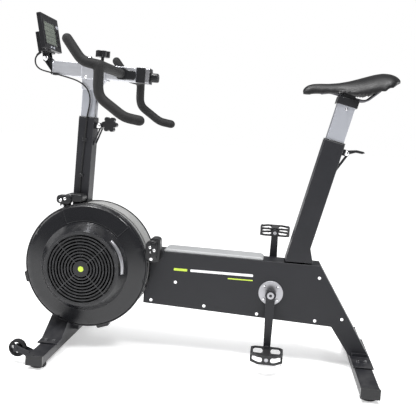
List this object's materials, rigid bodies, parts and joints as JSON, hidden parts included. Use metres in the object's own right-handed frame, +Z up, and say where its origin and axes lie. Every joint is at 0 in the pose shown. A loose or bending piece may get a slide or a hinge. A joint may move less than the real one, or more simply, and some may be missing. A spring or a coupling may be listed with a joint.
{
  "type": "exercise bike",
  "caption": "Upright air-fan exercise bike with a round vented fan housing, drop handlebar with foam grips, display, saddle and pedals on a black steel frame.",
  "frame": {"origin": "on the floor under the middle of the bike's bounding box", "axes": "+X runs from the fan housing to the saddle end, -Y is the rider's left, +Z is up"},
  "size_m": [1.1522, 0.61, 1.0635],
  "materials": {
    "black_paint": "satin powder coat",
    "grey_mesh": "satin perforated sheet",
    "silver_tube": "satin anodised",
    "steel_part": "satin",
    "bright_bolt": "polished",
    "black_plastic": "fine texture",
    "grey_plastic": "satin",
    "fan_plastic": "matte",
    "foam": "closed-cell foam",
    "saddle_cover": "stitched vinyl",
    "black_rubber": "matte",
    "lcd_window": "clear gloss",
    "key_caps": "gloss"
  },
  "bodies": {
    "frame": {"left_side_plate": "black_paint", "right_side_plate": "black_paint", "chassis_web": "black_paint", "top_cover": "grey_plastic", "rear_leg_flange": "black_paint", "rear_crossbar": "black_paint", "front_crossbar": "black_paint", "front_leg": "black_paint", "end_caps": "black_plastic", "feet": "black_rubber", "seat_tube": "black_paint", "front_post": "black_paint", "post_bushes": "black_plastic", "fan_carrier": "black_paint", "fan_axle": "steel_part", "near_cover": "black_plastic", "intake_grille": "black_plastic", "perforated_band": "grey_mesh", "far_cover": "black_plastic", "cover_lugs": "black_paint", "drive_belts": "black_rubber", "bearing_cups": "silver_tube", "caster_brackets": "black_paint", "lever_brackets": "black_paint", "frame_bolts": "bright_bolt", "frame_lead": "black_rubber"},
    "crank": {"crank_axle": "steel_part", "crank_pulley": "steel_part", "left_crank": "black_paint", "right_crank": "black_paint", "pedal_spindles": "steel_part"},
    "left_pedal": {"left_pedal": "black_plastic"},
    "right_pedal": {"right_pedal": "black_plastic"},
    "jackshaft": {"jackshaft": "steel_part"},
    "fan": {"fan_wheel": "fan_plastic", "fan_pulley": "steel_part"},
    "damper": {"damper_ring": "black_plastic"},
    "left_caster": {"left_caster": "black_plastic"},
    "right_caster": {"right_caster": "black_plastic"},
    "seat_post": {"seat_post": "silver_tube", "saddle_clamp": "steel_part"},
    "saddle": {"saddle": "saddle_cover", "saddle_rails": "steel_part"},
    "seat_lever": {"seat_lever": "black_plastic"},
    "bar_lever": {"bar_lever": "black_plastic"},
    "bar_post": {"bar_post": "silver_tube", "slide_sleeve": "black_paint"},
    "sleeve_knob": {"sleeve_knob": "black_plastic"},
    "bar_slide": {"slide_tube": "silver_tube", "slide_end_cap": "black_plastic", "handlebar": "black_paint", "left_grip": "foam", "right_grip": "foam", "monitor_arm": "black_paint", "monitor_lead": "black_rubber"},
    "monitor": {"monitor_case": "black_plastic", "monitor_screen": "lcd_window"},
    "left_key": {"left_key": "key_caps"},
    "right_key": {"right_key": "key_caps"}
  },
  "joints": [
    {"name": "crank_turn", "type": "hinge", "parent": "frame", "child": "crank", "pos_m": [0.2285, 0, 0.228], "axis": [0, 1, 0], "continuous": true},
    {"name": "left_pedal_turn", "type": "hinge", "parent": "crank", "child": "left_pedal", "pos_m": [0.2285, -0.138, 0.053], "axis": [0, 1, 0], "continuous": true},
    {"name": "right_pedal_turn", "type": "hinge", "parent": "crank", "child": "right_pedal", "pos_m": [0.2285, 0.138, 0.403], "axis": [0, 1, 0], "continuous": true},
    {"name": "jackshaft_turn", "type": "hinge", "parent": "frame", "child": "jackshaft", "pos_m": [-0.0355, 0, 0.243], "axis": [0, 1, 0], "continuous": true},
    {"name": "fan_turn", "type": "hinge", "parent": "frame", "child": "fan", "pos_m": [-0.3645, -0.032, 0.277], "axis": [0, 1, 0], "continuous": true},
    {"name": "damper_turn", "type": "hinge", "parent": "frame", "child": "damper", "pos_m": [-0.3645, -0.095, 0.277], "axis": [0, -1, 0], "range_deg": [0, 40]},
    {"name": "left_caster_turn", "type": "hinge", "parent": "frame", "child": "left_caster", "pos_m": [-0.5145, -0.262, 0.048], "axis": [0, 1, 0], "continuous": true},
    {"name": "right_caster_turn", "type": "hinge", "parent": "frame", "child": "right_caster", "pos_m": [-0.5145, 0.262, 0.048], "axis": [0, 1, 0], "continuous": true},
    {"name": "seat_height", "type": "slide", "parent": "frame", "child": "seat_post", "axis": [0.2334, 0, 0.9724], "range_m": [-0.09, 0.12]},
    {"name": "saddle_reach", "type": "slide", "parent": "seat_post", "child": "saddle", "axis": [0.9724, 0, -0.2334], "range_m": [-0.015, 0.015]},
    {"name": "seat_lever_turn", "type": "hinge", "parent": "frame", "child": "seat_lever", "pos_m": [0.43063, 0, 0.68493], "axis": [0, -1, 0], "range_deg": [0, 35]},
    {"name": "bar_lever_turn", "type": "hinge", "parent": "frame", "child": "bar_lever", "pos_m": [-0.36241, 0, 0.72209], "axis": [0, -1, 0], "range_deg": [0, 35]},
    {"name": "bar_height", "type": "slide", "parent": "frame", "child": "bar_post", "axis": [0.0366, 0, 0.9993], "range_m": [-0.07, 0.1]},
    {"name": "sleeve_knob_turn", "type": "hinge", "parent": "bar_post", "child": "sleeve_knob", "pos_m": [-0.3651, 0, 0.8943], "axis": [0.0366, 0, 0.9993], "continuous": true},
    {"name": "bar_reach", "type": "slide", "parent": "bar_post", "child": "bar_slide", "axis": [0.9993, 0, -0.0366], "range_m": [-0.03, 0.06], "deforming": ["monitor_lead"]},
    {"name": "monitor_tilt", "type": "hinge", "parent": "bar_slide", "child": "monitor", "pos_m": [-0.54595, 0, 0.92895], "axis": [0, 1, 0], "range_deg": [-10, 15]},
    {"name": "left_key_press", "type": "slide", "parent": "monitor", "child": "left_key", "axis": [-0.9813, 0, -0.1925], "range_m": [0, 0.001], "stiffness_N_per_m": 400},
    {"name": "right_key_press", "type": "slide", "parent": "monitor", "child": "right_key", "axis": [-0.9813, 0, -0.1925], "range_m": [0, 0.001], "stiffness_N_per_m": 400}
  ],
  "couplings": [
    {"joint": "jackshaft_turn", "follows": "crank_turn", "ratio": 3.3636},
    {"joint": "fan_turn", "follows": "crank_turn", "ratio": 10.091}
  ]
}
